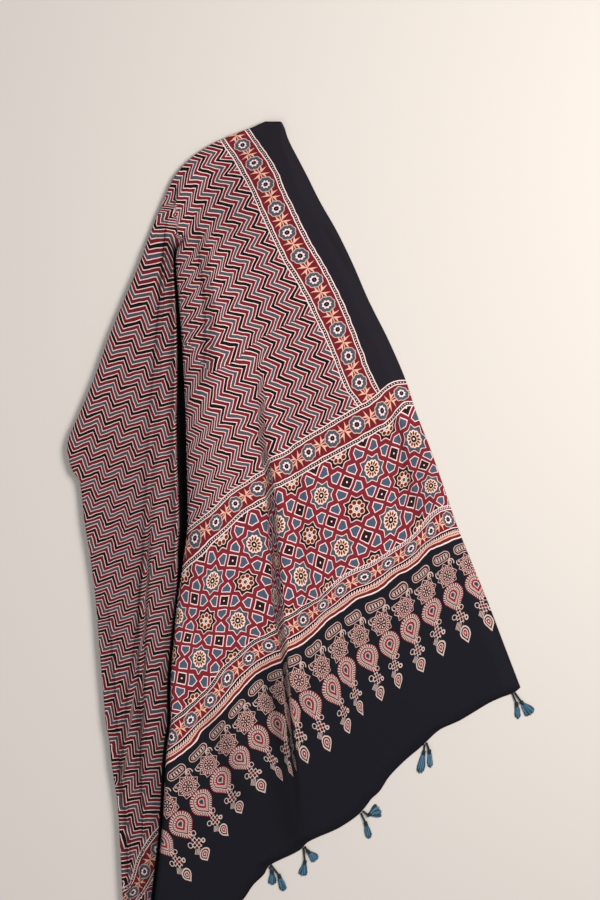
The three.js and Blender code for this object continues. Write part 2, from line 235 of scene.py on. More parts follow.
# Outlines as (y, x): the selvedge down to the corner, the hem from there, the front fold, the left side
CORNER_Y = -199
selvedge = [(594, -27), (586, -23), (576, -20), (562, -14), (543, -4), (518, 9), (484, 26), (442, 50),
            (397, 72), (344, 95), (288, 123), (232, 147), (186, 162), (137, 181), (92, 197), (36, 216),
            (-20, 238), (-76, 261), (-139, 285), (CORNER_Y, 308)]
hem = [(CORNER_Y, 308), (-206, 299), (-212, 283), (-219, 267), (-232, 245), (-245, 223), (-258, 195),
       (-273, 178), (-279, 172), (-304, 143), (-325, 123), (-346, 109), (-355, 99), (-367, 90),
       (-376, 82), (-395, 55), (-418, 7), (-425, 1), (-444, -36), (-449, -45), (-461, -52), (-476, -67),
       (-495, -80), (-538, -120), (-577, -168), (-594, -180)]
front_fold = [(594, -39), (586, -54), (576, -74), (562, -98), (543, -122), (518, -143), (484, -161),
              (442, -173), (397, -174.5), (344, -170.5), (288, -166), (232, -163), (186, -161), (137, -160),
              (36, -158), (-20, -164), (-76, -172), (-139, -178), (-199, -182), (-245, -182), (-273, -186),
              (-304, -189), (-367, -192), (-418, -196), (-468, -202), (-538, -209), (-577, -212),
              (-594, -211)]
left_side = [(594, -50), (586, -67), (576, -94), (562, -125), (543, -153), (518, -176), (484, -192),
             (442, -209), (397, -225), (344, -247), (288, -270), (232, -290), (186, -309), (137, -327),
             (106, -320), (92, -310), (36, -303), (-20, -294), (-76, -287), (-139, -282), (-199, -277),
             (-245, -273), (-273, -268), (-304, -265), (-336, -260), (-367, -256), (-418, -253),
             (-495, -249), (-538, -245), (-577, -240), (-594, -238)]

# How the front fold opens on its way down, each as (y, value)
fold_folded = [(442, 0), (400, 1), (-594, 1)]
fold_height = [(442, 22), (400, 24), (322, 27), (241, 29), (161, 30), (-20, 30), (-70, 27), (-300, 24),
               (-594, 22)]
fold_depth = [(442, 40), (400, 42), (322, 50), (241, 60), (161, 66), (-20, 72), (-70, 74), (-300, 70),
              (-594, 40)]
fold_gap = [(442, 0), (400, 1), (322, 4), (241, 8), (161, 12), (60, 11), (0, 9), (-30, 5), (-70, 1),
            (-594, 1)]
fold_wall = [(442, 14), (400, 19), (322, 23), (241, 25), (161, 26), (-20, 25), (-70, 18), (-300, 14),
             (-594, 13)]


def columns(table):
    """A table's columns, with its rows put in order."""
    return [np.array(column, float) for column in zip(*sorted(table))]


def through(table):
    """A smooth curve through a table of (y, value) rows that never overshoots them."""
    ys, values = columns(table)
    steps = np.diff(ys)
    slopes = np.diff(values) / steps
    tangents = np.zeros(len(ys))
    tangents[0], tangents[-1] = slopes[0], slopes[-1]
    for i in range(1, len(ys) - 1):
        before, after = slopes[i - 1], slopes[i]
        if before * after > 0:
            first = 2 * steps[i] + steps[i - 1]
            second = steps[i] + 2 * steps[i - 1]
            tangents[i] = (first + second) / (first / before + second / after)

    def curve(y):
        y = min(max(y, ys[0]), ys[-1])
        i = min(max(int(np.searchsorted(ys, y)) - 1, 0), len(steps) - 1)
        t = (y - ys[i]) / steps[i]
        return float((1 + 2 * t) * (1 - t) ** 2 * values[i] + t * (1 - t) ** 2 * steps[i] * tangents[i]
                     + t * t * (3 - 2 * t) * values[i + 1] + t * t * (t - 1) * steps[i] * tangents[i + 1])

    return curve


def lerp(a, b, t):
    return a + (b - a) * t


def smoothstep(t):
    t = np.clip(t, 0, 1)
    return t * t * (3 - 2 * t)


def near(x, centre, reach):
    """1 at centre, falling away past reach."""
    return np.exp(-((x - centre) / reach) ** 2)


class Tuck:
    """A narrow soft fold down the cloth: a ridge with a trough on its right, on a broad swell."""
    def __init__(self, width, height, path):
        self.width = width
        self.height = height
        self.x = through([(y, x) for y, x, share in path])
        self.share = through([(y, share) for y, x, share in path])

    def relief(self, y, x, start, end):
        width = min(self.width, (end - start) * 0.05)
        centre = min(max(self.x(y), start + 3.4 * width), end - 3.4 * width)
        d = (x - centre) / width
        shape = 0.6 * near(d, 0, 3) + 0.7 * near(d, -1, 1) - 0.6 * near(d, 1, 1)
        return self.height * self.share(y) * shape


# Each tuck's width and height, and its path as (y, x, share of its height)
rib_tuck = Tuck(9, 7, [(464, -141, 0), (407, -136, 0.8), (323, -127, 1), (256, -127, 1), (204, -137, 0)])
pinch_tuck = Tuck(11, 10, [(243, -64, 0), (166, -52, 0.7), (92, -43, 1), (-34, -41, 1), (-159, -24, 0.9),
                           (-261, -14, 0.7), (-320, -10, 0)])
outer_tuck = Tuck(6, 4, [(-20, -272, 0), (-139, -260, 0.9), (-304, -250, 1), (-495, -240, 0.8),
                         (-594, -228, 0)])
inner_tuck = Tuck(8, 5, [(483, -185, 0), (378, -192, 0.8), (151, -206, 0.8), (14, -213, 1),
                         (-139, -226, 1), (-304, -233, 0.7), (-495, -234, 0.4), (-594, -222, 0)])
edge_tuck = Tuck(5, 2.5, [(190, 130, 0), (181, 133, 0.8), (162, 139, 1), (112, 146, 1), (78, 155, 1),
                          (45, 164, 0.8), (25, 170, 0)])
strip_tuck = Tuck(5, 2, [(460, 25, 0), (440, 37, 0.8), (400, 60, 0.8), (382, 70, 0)])

selvedge_x, hem_x = through(selvedge), through(hem)
fold_x, left_x = through(front_fold), through(left_side)
folded_at, height_at, depth_at, gap_at, wall_at = map(
    through, (fold_folded, fold_height, fold_depth, fold_gap, fold_wall))


def right_x(y):
    return selvedge_x(y) if y >= CORNER_Y else hem_x(y)


# Stations along each stretch of a section's line
FRONT_STATIONS = 90
PLEAT_STATIONS = 34
LEFT_STATIONS = 64
EDGE_STATIONS = 8
LAYER_STATIONS = 6


def spread(start, end, count, closeness):
    """Stations from start to end, closer together where closeness is larger."""
    fine = np.linspace(start, end, 400)
    share = np.concatenate([[0], np.cumsum(closeness(fine[:-1]))])
    return np.interp(np.linspace(0, share[-1], count), share, fine)


def arc(centre, radius, start, end, count):
    angles = np.radians(np.linspace(start, end, count))
    return [(centre[0] + radius * math.cos(a), centre[1] + radius * math.sin(a)) for a in angles]


def evenly(points, count):
    """The line through points, with count stations evenly along it."""
    points = np.array(points)
    run = np.concatenate([[0], np.cumsum(np.hypot(*np.diff(points, axis=0).T))])
    stations = np.linspace(0, run[-1], count)
    return np.stack([np.interp(stations, run, points[:, 0]), np.interp(stations, run, points[:, 1])], 1)


def section_line(y):
    """The sheet's line at height y as points (x, z), from its right edge to its free end."""
    right, fold, left = right_x(y), fold_x(y), left_x(y)
    span = right - left
    drape = min(EDGE_DRAPE, span * DRAPE_SHARE)
    inset_share = min(1, span / FULL_INSET_SPAN)
    left_reach = min(FOLD_REACH, (fold - left) * FOLD_SHARE)
    unfolded_left = min(UNFOLDED_REACH, (fold - left) * UNFOLDED_SHARE)
    unfolded_right = UNFOLDED_REACH * inset_share
    folded = float(smoothstep(folded_at(y)))
    top = height_at(y)
    depth = min(depth_at(y), (right - fold) * PLEAT_SHARE)
    gap, wall = gap_at(y), wall_at(y)
    radius = (top - PLEAT_UPPER_Z) / 2

    # Front panel
    inner = fold + lerp(unfolded_right, radius, folded)
    outer = right - drape * 1.25
    between = lerp(inner, outer, FRONT_GROUND)

    def closeness(x):
        near_tucks = near(x, rib_tuck.x(y), 16) + 1.5 * near(x, pinch_tuck.x(y), 22)
        return 1 + 1.2 * near(x, right, 20) + 0.6 * near(x, inner, 12) + near_tucks

    xs = spread(right, inner, FRONT_STATIONS, closeness)
    beyond = np.clip((xs - fold) / (depth * PLEAT_LIFT_REACH), 0, 1)
    lift = (top - PANEL_Z) * folded * 0.5 * (1 + np.cos(np.pi * beyond))
    relief = rib_tuck.relief(y, xs, inner, between)
    for tuck in (pinch_tuck, edge_tuck, strip_tuck):
        relief += tuck.relief(y, xs, between, outer)
    edge = smoothstep((right - xs) / drape)
    front = np.stack([xs, lerp(LOWEST_Z, PANEL_Z + lift + relief, edge)], 1)

    # Pleat behind the front fold, and the wall up to the left panel
    turn_radius = (PLEAT_UPPER_Z - PLEAT_LOWER_Z) / 2
    turn = fold + depth - turn_radius
    pleat = arc((fold + radius, top - radius), radius, 90, 270, 14)
    pleat += arc((turn, PLEAT_UPPER_Z - turn_radius), turn_radius, 90, -90, 7)
    pleat += [(fold + 3, PLEAT_LOWER_Z), (fold - gap * 0.5, PLEAT_LOWER_Z),
              (fold - gap - 1, PLEAT_LOWER_Z + 2), (fold - gap - 2, (PLEAT_LOWER_Z + wall) / 2),
              (fold - gap - WALL_REACH, wall)]
    pleat = evenly(pleat, PLEAT_STATIONS)
    flat = np.stack([np.linspace(fold + unfolded_right, fold - unfolded_left, PLEAT_STATIONS),
                     np.full(PLEAT_STATIONS, PANEL_Z)], 1)
    pleat = lerp(flat, pleat, folded)

    # Left panel and its round fold
    edge_z = lerp(PANEL_Z, LEFT_EDGE_Z, folded)
    start = left + left_reach
    end = fold - lerp(unfolded_left, gap + WALL_REACH, folded)
    middle = lerp(start, end, LEFT_GROUND)
    xs = np.linspace(end, start, LEFT_STATIONS)
    rise = smoothstep((end - xs) / (end - start))
    relief = inner_tuck.relief(y, xs, middle, end) + outer_tuck.relief(y, xs, start, middle)
    panel = np.stack([xs, lerp(lerp(PANEL_Z, wall, folded), edge_z, rise) + relief], 1)
    half = (edge_z - TOP_LAYER_Z) / 2
    turns = np.radians(np.linspace(90, 270, EDGE_STATIONS + 2)[1:])
    round_fold = np.stack([left + left_reach + left_reach * np.cos(turns),
                           TOP_LAYER_Z + half + half * np.sin(turns)], 1)

    # Layers underneath
    layers = []
    at = left + left_reach
    for i in range(UNDER_LAYERS):
        z = TOP_LAYER_Z - i * LAYER_PITCH
        sway = SWAY * math.sin(2 * math.pi * y / SWAY_LENGTH + 2 * i)
        if i % 2 == 0:
            reach = right - (RIGHT_INSETS[i] - sway) * inset_share
            bend = 1
        else:
            reach = left + (LEFT_INSETS[i] - sway) * inset_share
            bend = -1
        layers += [(x, z) for x in np.linspace(at, reach, LAYER_STATIONS)[1:]]
        if i < UNDER_LAYERS - 1:
            r = LAYER_PITCH / 2
            layers += [(reach + bend * r * math.cos(a), z - r + r * math.sin(a))
                       for a in np.radians([45, 0, -45, -90])]
        at = reach
    return np.concatenate([front, pleat[1:], panel[1:], round_fold, layers])


# The sections' heights, closer together at the narrow top and round the corner
rows_y = np.concatenate([np.linspace(594, 540, 16)[:-1], np.linspace(540, -190, 108)[:-1],
                         np.linspace(-190, CORNER_Y, 4)[:-1], np.linspace(CORNER_Y, -300, 41)[:-1],
                         np.linspace(-300, -594, 54)])
lines = np.array([section_line(y) for y in rows_y])
row_count, column_count = lines.shape[:2]

# Where the print lies. Print coordinates are mm on the flat cloth: u in from the right selvedge, v up
# from the hem. Each mark is a place (x, y) on the folded cloth where a line of the print, or a motif of
# a row, is seen; None is a motif that can't be seen. Warp lines have a fixed u, weft lines a fixed v,
# and a row of motifs has its v, the u of its first motif and its pitch.
warp_lines = [
    (36, [(-71.5, 582), (-53, 555.5), (-50.5, 554), (-28, 515), (-26, 507), (-10, 473), (7, 439),
     (12.5, 426.5), (26.5, 404), (57.5, 345.5), (78.5, 293.5), (96.5, 246), (110.5, 216.5)]),
    (78, [(-113, 566.5), (-93.5, 539), (-71, 498), (-48.5, 447.5), (-22.5, 393), (-1.5, 361), (18, 321.5),
     (45, 264), (63, 218), (80, 195.5)]),
]
weft_lines = [
    (0, [(299.5, -206), (283, -212), (264.5, -220), (222.5, -245.5), (194.5, -258), (178, -273.5),
     (172, -279), (143, -304), (123, -325), (112, -340.5), (109, -346), (99.5, -354.5), (89.5, -367),
     (82.5, -375.5), (54.5, -395), (7, -417.5), (1.5, -424.5), (-36.5, -444), (-45, -448.5), (-52, -461),
     (-67, -476.5), (-80, -494.5)]),
    (246, [(223.5, 11), (179, -6), (131.5, -42.5), (78.5, -74.5), (39, -102.5), (-1.5, -140.5),
     (-28, -163), (-80, -199), (-140, -259.5), (-145, -272), (-189, -305.5)]),
    (298, [(203, 54), (198.5, 56), (180.5, 44.5), (155.5, 13.5), (99.5, -23), (39, -59), (25, -72.5),
     (-1.5, -86), (-18, -96), (-31, -107), (-35, -116), (-52, -125.5), (-60, -127.5), (-86, -149.5),
     (-124.5, -191), (-180.5, -239.5)]),
    (292, [(207, 52.5)]),
    (456, [(158, 198.5), (148.5, 200), (131.5, 181.5), (119, 167.5), (112, 166), (-1.5, 100.5),
     (-43.5, 75), (-82.5, 46), (-124.5, 6.5), (-134.5, -6), (-165, -32.5)]),
    (498, [(147, 232), (131.5, 232), (110.5, 216.5), (82.5, 197), (52, 180), (28, 165), (-19.5, 134),
     (-49, 113), (-94, 82), (-127.5, 48.5), (-151, 30.5), (-158, 22)]),
]
motif_rows = [
    (477, 11, 39.5, [(140.5, 213.5), (114, 189), (78, 170), (44, 150.5), (10.5, 131.5), (-20.5, 111.5),
     (-43, 98), (-60.5, 80.5), (-91.5, 59), (-118.5, 33.5), (-148, 13)]),
    (413, 11, 79, [(157, 150.5), (99.5, 108), (28, 70), (-32, 29), (-65.5, 2), (-123.5, -48.5),
     (-172, -97.5)]),
    (374, 50.5, 79, [(144, 92.5), (77.5, 52), (12, 15), None, (-78, -49.5), (-133, -104.5)]),
    (334, 11, 79, [(181.5, 85), (126, 37), (56.5, -2), (0, -42), None, (-88.5, -103.5), (-142, -156)]),
    (278, -8.75, 39.5, [(205.5, 38), (182.5, 20.5), (153.5, -4.5), (122, -25), (89, -44), (54.5, -62.5),
     (30.5, -83), (3, -104), (-22, -118), None, (-45.5, -139.5), (-73, -156.5), (-103.5, -185),
     (-126, -214.5), (-154, -243), (-180.5, -265.5)]),
    (234, 27.75, 41, [(196, -15.5), (167, -38), (136.5, -61.5), (103.5, -81), (71.5, -99), (45.5, -115),
     (15.5, -142), (-13.5, -157), None, (-35.5, -178), (-64.5, -195), (-92, -226), (-118, -255),
     (-145, -287), (-175, -313)]),
    (204, 27.75, 41, [(205, -43), (176.5, -65), (145.5, -87), (112.5, -110), (82, -127.5), None,
     (30.5, -171.5), (-3, -190), None, (-29.5, -206), (-48, -220), (-77.5, -246), (-102.5, -278),
     (-128, -305.5), (-157.5, -335.5), (-185, -363)]),
    (171.6, -13.25, 41, [(245.5, -54), (212.5, -69.5), (183, -91.5), (152.5, -115), (124.5, -138),
     (94, -154.5), (62, -174.5), (45, -199), (10.5, -221.5), (-12, -228.5), None, (-32, -248.5),
     (-59.5, -269.5), (-86, -296), (-112.5, -327), (-138.5, -357.5), (-168.5, -388), (-193.5, -412)]),
    (136.5, -13.25, 41, [(255.5, -85), (223.5, -99), (191.5, -121), (164.5, -146.5), (131.5, -168),
     (108, -185), (76, -208.5), (62, -232.5), (27, -253.5), (-2, -265), None, (-20.5, -285),
     (-40.5, -298.5), (-67, -318), (-96, -352), (-120, -383), (-145, -414.5), (-172.5, -439.5)]),
    (116, -13.25, 41, [(263, -106.5), (230.5, -123.5), (196, -142.5), (167.5, -166), (136.5, -188.5),
     (111.5, -206.5), (81, -225.5), None, (36.5, -276), (5.5, -292.5), None, (-15.5, -315.5),
     (-29.5, -317.5), (-56, -336.5), (-86, -366), (-107.5, -397), (-133.5, -430.5), (-158.5, -459.5)]),
    (104, 27.75, 41, [(235, -136), (198.5, -154.5), (171.5, -177.5), (137.5, -200), (113.5, -217.5), None,
     None, (40.5, -289), (9.5, -305), None, None, (-25, -328.5), (-49.5, -346), (-83.5, -374.5),
     (-101, -405.5), (-131, -439.5)]),
    (643.6, 93.5, 28.5, [(0.5, 321), (-27, 307), (-52, 293.5), (-72, 280), (-97, 256)]),
    (673.8, 93.5, 28.5, [(-14, 346), (-40.5, 336), (-62.5, 318.5), (-87, 302.5), (-111, 284)]),
    (704, 93.5, 28.5, [(-27.5, 373), (-54, 360.5), (-78.5, 345), (-103.5, 326), (-120.5, 308)]),
    (734.2, 93.5, 28.5, [(-42, 398), (-68.5, 386), (-91.5, 368.5), (-113, 348.5)]),
    (764.4, 93.5, 28.5, [(-55.5, 424), (-83.5, 409), (-105.5, 391)]),
    (794.6, 93.5, 28.5, [(-68, 446.5), (-94, 433), (-116.5, 414)]),
    (824.8, 93.5, 28.5, [(-79, 473), (-105.5, 454), (-126, 435.5)]),
    (855, 93.5, 28.5, [(-91, 497), (-117, 480.5), (-138, 459), (-155.5, 438)]),
    (885.2, 93.5, 28.5, [(-106, 519), (-129.5, 502), (-149.5, 481.5), (-164.5, 459.5)]),
    (915.4, 93.5, 28.5, [(-117.5, 539.5), (-143, 527.5), (-163, 503)]),
]
# Single places, as (u, v, x, y)
single_marks = [
    (0, 498, 147, 232), (-1.6, 477, 153, 214), (-8, 413, 176, 151), (-10, 334, 199.5, 85),
    (-19.5, 283, 213.5, 39), (-20, 174, 252.5, -54), (-23, 116, 273, -106.5), (57, 525.6, 81.5, 228.5),
    (57, 723.1, -1, 406), (57, 762.6, -19.5, 438.5), (57, 802.1, -34.5, 472), (57, 841.6, -49.5, 506),
    (57, 881.1, -66, 536), (57, 920.6, -81.5, 561), (179, 855, -146.5, 437), (179, 915.4, -176.5, 481.5),
    (207.5, 855, -163, 414),
]
# Corners of the lower block's zigzags, as (stroke, row, x, y), counted from the joint at JOINT_V
lower_marks = [
    (3, 3, -43.5, 194), (3, 4, -32, 170.5), (3, 5, -19.5, 143), (5, 2, -89.5, 191.5), (5, 3, -74.5, 168),
    (5, 4, -65, 143), (6, 2, -112, 172), (6, 3, -97, 150.5), (6, 4, -83.5, 125.5), (7, 3, -117, 132),
    (7, 4, -102, 108), (7, 5, -89.5, 86.5), (5, -1, -142.5, 265.5), (6, -1, -155.5, 245.5),
    (6, 0, -140.5, 227), (7, 0, -154.5, 204.5), (7, 1, -139.5, 177.5), (8, 1, -152, 165.5),
    (6, 1, -126.5, 196),
]
JOINT_V = 643.6
LOWER_PITCH = 28.06
LOWER_U = 98.3
LOWER_DRIFT = 1.64
STROKES = 28.5
single_marks += [(LOWER_U + STROKES * stroke + LOWER_DRIFT * row, JOINT_V - LOWER_PITCH * row, x, y)
                 for stroke, row, x, y in lower_marks]
# On the left panel, single places as (u, v, x, y), and places on weft lines as (v, x, y)
left_marks = [
    (207.5, 885.2, -195.5, 470), (236, 885.2, -205, 447), (264.5, 885.2, -211.5, 418),
    (293, 885.2, -219, 388.5), (321.5, 885.2, -228.5, 361), (350, 885.2, -238.5, 334.5),
    (378.5, 885.2, -247.5, 306.5), (407, 885.2, -258.5, 282), (435.5, 885.2, -268.5, 257),
    (549.5, 824.8, -257.5, 135), (549.5, 855, -283.5, 145), (549.5, 885.2, -310, 153.5),
    (549.5, 794.6, -231, 125.5), (578, 824.8, -267.5, 110), (635, 824.8, -287.5, 62.5),
    (635, 764.4, -238, 44), (663.5, 764.4, -246, 20), (749, 764.4, -283, -50.5),
    (749, 734.2, -258.5, -59.5), (749, 704, -234, -69), (777.5, 734.2, -269, -82),
    (777.5, 704, -245.5, -91), (720.5, 764.4, -271, -27), (720.5, 734.2, -246, -35),
    (806, 734.2, -281.5, -102.5), (806, 704, -258, -112.5), (834.5, 704, -269, -133.5),
    (749, 643.6, -206, -89), (920, 553, -204.5, -289.5), (948.5, 553, -217, -312),
    (948.5, 522.8, -196, -330), (977, 522.8, -210, -349.5), (1005.5, 522.8, -220.5, -372.5),
    (1038, 477, -199.5, -424), (1077.5, 477, -219, -455.5), (1117, 477, -235, -484),
]
left_wefts = [
    (498, -195, -386), (498, -216, -412), (498, -224, -426), (498, -233, -446),
    (498, -239.5, -472), (456, -197.5, -446), (456, -211, -469),
    (456, -219, -482.5), (456, -229, -495.5),
]

# The pinch tuck takes in cloth, as (y, x of its middle, mm taken in). Its half width is a table of
# (y values), (mm)
pinch_path = [(295, -59, 0), (253, -58, 8), (204, -55, 18), (148, -55, 24), (106, -46, 30), (54, -41, 36),
              (8, -39, 38), (-41, -34, 45), (-97, -31, 46), (-132, -25, 50), (-160, -22, 54),
              (-236, -17, 58), (-272, -13, 56), (-314, -8, 40), (-356, -4, 15), (-398, -1, 0)]
PINCH_HALF = ([-150, -80, 60, 110], [5, 8, 8, 5])

# So do two narrow creases of the left panel
inner_crease = [(90, -207, 0), (64, -209, 2), (22, -211.5, 7), (-41, -213, 9), (-132, -217, 9),
                (-251, -222, 8), (-321, -224, 4), (-370, -226, 0)]
outer_crease = [(29, -213, 0), (-10, -219, 4), (-51, -224, 8), (-104, -227, 9), (-160, -236, 9),
                (-202, -243, 8), (-251, -246, 8), (-307, -252, 7), (-356, -255, 4), (-420, -257, 0)]
CREASE_HALF = ([0], [2])


def let_out(x, y, path, halves):
    """x as it would be with a tuck let out."""
    ys, middles, amounts = columns(path)
    half = np.interp(y, *halves)
    beyond = np.clip((np.interp(y, ys, middles) + half - x) / (2 * half), 0, 1)
    return x - np.interp(y, ys, amounts) * beyond


def front_let_out(x, y):
    return let_out(x, y, pinch_path, PINCH_HALF)


def left_let_out(x, y):
    return let_out(let_out(x, y, inner_crease, CREASE_HALF), y, outer_crease, CREASE_HALF)


def thin_plate(points, values):
    """A smooth surface that nearly meets the values at points, as a function of places."""
    reach = 300
    softness = 0.001
    points = np.array(points) / reach

    def kernel(places):
        distance = np.linalg.norm(places[:, None] - points[None], axis=2)
        return distance ** 2 * np.log(np.maximum(distance, 1e-9))

    def plane(places):
        return np.column_stack([np.ones(len(places)), places])

    count = len(points)
    system = np.zeros((count + 3, count + 3))
    system[:count, :count] = kernel(points) + softness * np.eye(count)
    system[:count, count:] = plane(points)
    system[count:, :count] = plane(points).T
    weights = np.linalg.solve(system, np.concatenate([values, np.zeros(3)]))

    def surface(places):
        places = np.array(places) / reach
        return kernel(places) @ weights[:count] + plane(places) @ weights[count:]

    return surface


u_marks = [(u, x, y) for u, spots in warp_lines for x, y in spots]
u_marks += [(u, x, y) for u, v, x, y in single_marks]
v_marks = [(v, x, y) for v, spots in weft_lines for x, y in spots]
v_marks += [(v, x, y) for u, v, x, y in single_marks]
for v, first_u, pitch, spots in motif_rows:
    for i, spot in enumerate(spots):
        if spot:
            u_marks.append((first_u + pitch * i, *spot))
            v_marks.append((v, *spot))


def fit(marks, opened):
    return thin_plate([(opened(x, y), y) for value, x, y in marks], [value for value, x, y in marks])


front_u, front_v = fit(u_marks, front_let_out), fit(v_marks, front_let_out)

# At the top of the front fold both panels' prints meet along a crease, through these places (x, y). The
# first of them tie the left panel's print to the front's.
crease_places = [(-49, 592), (-71.5, 582), (-99.5, 575), (-127.5, 561), (-155.5, 533), (-169.5, 512),
                 (-176.5, 481.5)]
TIED = 6
CREASE_END = (-173, 442)
crease_x = through([(y, x) for x, y in crease_places + [CREASE_END]])
tied_places = crease_places[:TIED]
tied_let_out = [(front_let_out(x, y), y) for x, y in tied_places]
tied_u = [(value, *place) for value, place in zip(front_u(tied_let_out), tied_places)]
tied_v = [(value, *place) for value, place in zip(front_v(tied_let_out), tied_places)]
left_u = fit(tied_u + [(u, x, y) for u, v, x, y in left_marks], left_let_out)
left_v = fit(tied_v + [(v, x, y) for u, v, x, y in left_marks] + left_wefts, left_let_out)


def print_on(xs, y, opened, print_u, print_v):
    """The print coordinates of places (x, y) at one height."""
    places = np.stack([opened(xs, y), np.full(len(xs), y)], 1)
    return np.stack([print_u(places), print_v(places)], 1)


# Where a section lies open, the prints change over at the crease. Where it is folded, both go on round
# the pleat and change over at its middle, out of sight. Past the left panel the print goes on evenly.
CREASE_TOP = 500
CREASE_LOW = 436
CREASE_WIDTH = 1.6
EVEN_RUN = 6
EDGE_RUN = 8
front = slice(0, FRONT_STATIONS)
panel_start = FRONT_STATIONS + PLEAT_STATIONS - 1
panel_end = panel_start + LEFT_STATIONS - 1
print_at = np.zeros((row_count, column_count, 2))
turnover = np.zeros((row_count, column_count))
for y, line, prints, turned in zip(rows_y, lines, print_at, turnover):
    xs = line[:panel_end, 0]
    first, last = FRONT_STATIONS - 1, panel_start
    front_print = print_on(xs, y, front_let_out, front_u, front_v)
    left_print = print_on(xs, y, left_let_out, left_u, left_v)
    run = np.concatenate([[0], np.cumsum(np.hypot(*np.diff(line, axis=0).T))])
    if np.all(np.diff(xs) < 0):
        nearing = smoothstep((y - CREASE_LOW) / (CREASE_TOP - CREASE_LOW))
        share = np.where((y > CREASE_TOP) | (xs > crease_x(y)), 1, nearing)
        prints[:panel_end] = lerp(left_print, front_print, share[:, None])
        if y <= CREASE_TOP:
            turned[:panel_end] = near(xs, crease_x(y), CREASE_WIDTH)
    else:
        prints[front] = front_print[front]
        prints[last:panel_end] = left_print[last:]
        out = (prints[first] - prints[first - EVEN_RUN]) / (run[first] - run[first - EVEN_RUN])
        back = (prints[last + EVEN_RUN] - prints[last]) / (run[last + EVEN_RUN] - run[last])
        blend = lerp(0.04, 0.4, float(smoothstep(folded_at(y))))
        for i in range(first + 1, last):
            off_middle = (run[i] - run[first]) / (run[last] - run[first]) - 0.5
            share = smoothstep(off_middle / blend + 0.5)
            turned[i] = abs(off_middle) < blend / 2 + 0.08
            prints[i] = lerp(prints[first] + out * (run[i] - run[first]),
                             prints[last] - back * (run[last] - run[i]), share)
    last = panel_end - 1
    onward = (prints[last] - prints[last - EDGE_RUN]) / (run[last] - run[last - EDGE_RUN])
    prints[last + 1:] = prints[last] + onward * (run[last + 1:] - run[last])[:, None]

# Painted shade: how much light is left, from 0 to 1, in the deep gap beside the front fold, in the tucks
# and creases, and on the left panel, which turns away, painted into the cloth's colour. Depths of shade are
# tables of (y values), (depths).
GAP_DARK_Z = 15
GAP_LIT_Z = 23
TURNOVER_DEPTH = 0.8
STRIP_REACH = 26
GAP_SIDE_DEPTH = 0.6
GAP_SIDE_REACH = 9
pinch_depth = ([-400, -320, -160, 110, 200, 260], [0, 0.5, 0.5, 0.5, 0.25, 0])
left_depth = ([-300, 0, 300, 500], [0.34, 0.22, 0.14, 0.14])
strip_depth = ([-120, -60, 0, 400, 442], [0, 0.15, 0.28, 0.28, 0])
tuck_shades = [(rib_tuck, 0.36, 6), (edge_tuck, 0.5, 3.5), (strip_tuck, 0.35, 5)]

# Each soft shade has its line as (y values), (x values), its depths, and its reach. On the front panel:
# beside the selvedge, the drops left of the pinch, the end band under it, the top, and the drops' crease
front_shades = [
    (([45, 170], [184, 158]), ([20, 60, 150, 185], [0, 0.2, 0.2, 0]), 16),
    (([-300, -167], [-22, -46]), ([-330, -300, -180, -150], [0, 0.4, 0.4, 0]), 13),
    (([-356, -244], [-85, -120]), ([-380, -350, -250, -220], [0, 0.3, 0.3, 0]), 15),
    (([-420, -330], [-8, -28]), ([-440, -400, -330, -310], [0, 0.35, 0.35, 0]), 18),
    (([400, 594], [-120, -60]), ([380, 470, 594], [0, 0.14, 0.14]), 70),
    (([-313, -272, -235, -160], [-8, -13, -17, -24]), ([-330, -300, -170, -140], [0, 0.7, 0.7, 0]), 2.2),
]
# On the left panel: the crease from the fold down to the inner crease, the two creases, and a short one
left_shades = [
    (([64, 106, 261, 378, 436], [-209, -206, -200, -194, -189]), ([40, 90, 400, 450], [0, 0.35, 0.35, 0]),
     3),
    (([-321, -251, -132, -41, 22, 64], [-224, -222, -217, -213, -211.5, -209]),
     ([-400, -321, 22, 90], [0, 0.5, 0.5, 0]), 2.4),
    (([-356, -307, -251, -202, -160, -104, -51, 29], [-255, -252, -246, -243, -236, -227, -224, -213]),
     ([-430, -356, -20, 20], [0, 0.5, 0.5, 0]), 2.4),
    (([-321, -251], [-231, -229]), ([-360, -310, -230, -190], [0, 0.4, 0.4, 0]), 2.4),
]


def shaded(xs, y, shades):
    """The light that soft shades leave at places (x, y) at one height."""
    light = np.ones(len(xs))
    for shade_x, depths, reach in shades:
        light *= 1 - np.interp(y, *depths) * near(xs, np.interp(y, *shade_x), reach)
    return light


pinch_ys, pinch_xs = columns(pinch_path)[:2]
turned_away = smoothstep(np.linspace(0, 6, LEFT_STATIONS))
gap = slice(FRONT_STATIONS - 1, panel_start)
panel = slice(panel_start, panel_start + LEFT_STATIONS)
# Painted shade in a line along the crease, and round the pleat's middle, where the prints change over
lit = 1 - TURNOVER_DEPTH * turnover
for y, line, light in zip(rows_y, lines, lit):
    folded = float(smoothstep(folded_at(y)))
    light[gap] = lerp(1, smoothstep((line[gap, 1] - GAP_DARK_Z) / (GAP_LIT_Z - GAP_DARK_Z)), folded)
    xs = line[front, 0]
    off_pinch = (xs - np.interp(y, pinch_ys, pinch_xs)) / np.interp(y, *PINCH_HALF)
    light[front] *= 1 - np.interp(y, *pinch_depth) * np.exp(-off_pinch ** 4)
    for tuck, depth, reach in tuck_shades:
        light[front] *= 1 - depth * tuck.share(y) * near(xs, tuck.x(y), reach)
    light[front] *= shaded(xs, y, front_shades)
    light[front] *= 1 - np.interp(y, *strip_depth) * near(xs, fold_x(y), STRIP_REACH)
    xs = line[panel, 0]
    light[panel] *= 1 - np.interp(y, *left_depth) * turned_away
    light[panel] *= 1 - GAP_SIDE_DEPTH * folded * near(xs, xs[0], GAP_SIDE_REACH)
    light[panel] *= shaded(xs, y, left_shades)

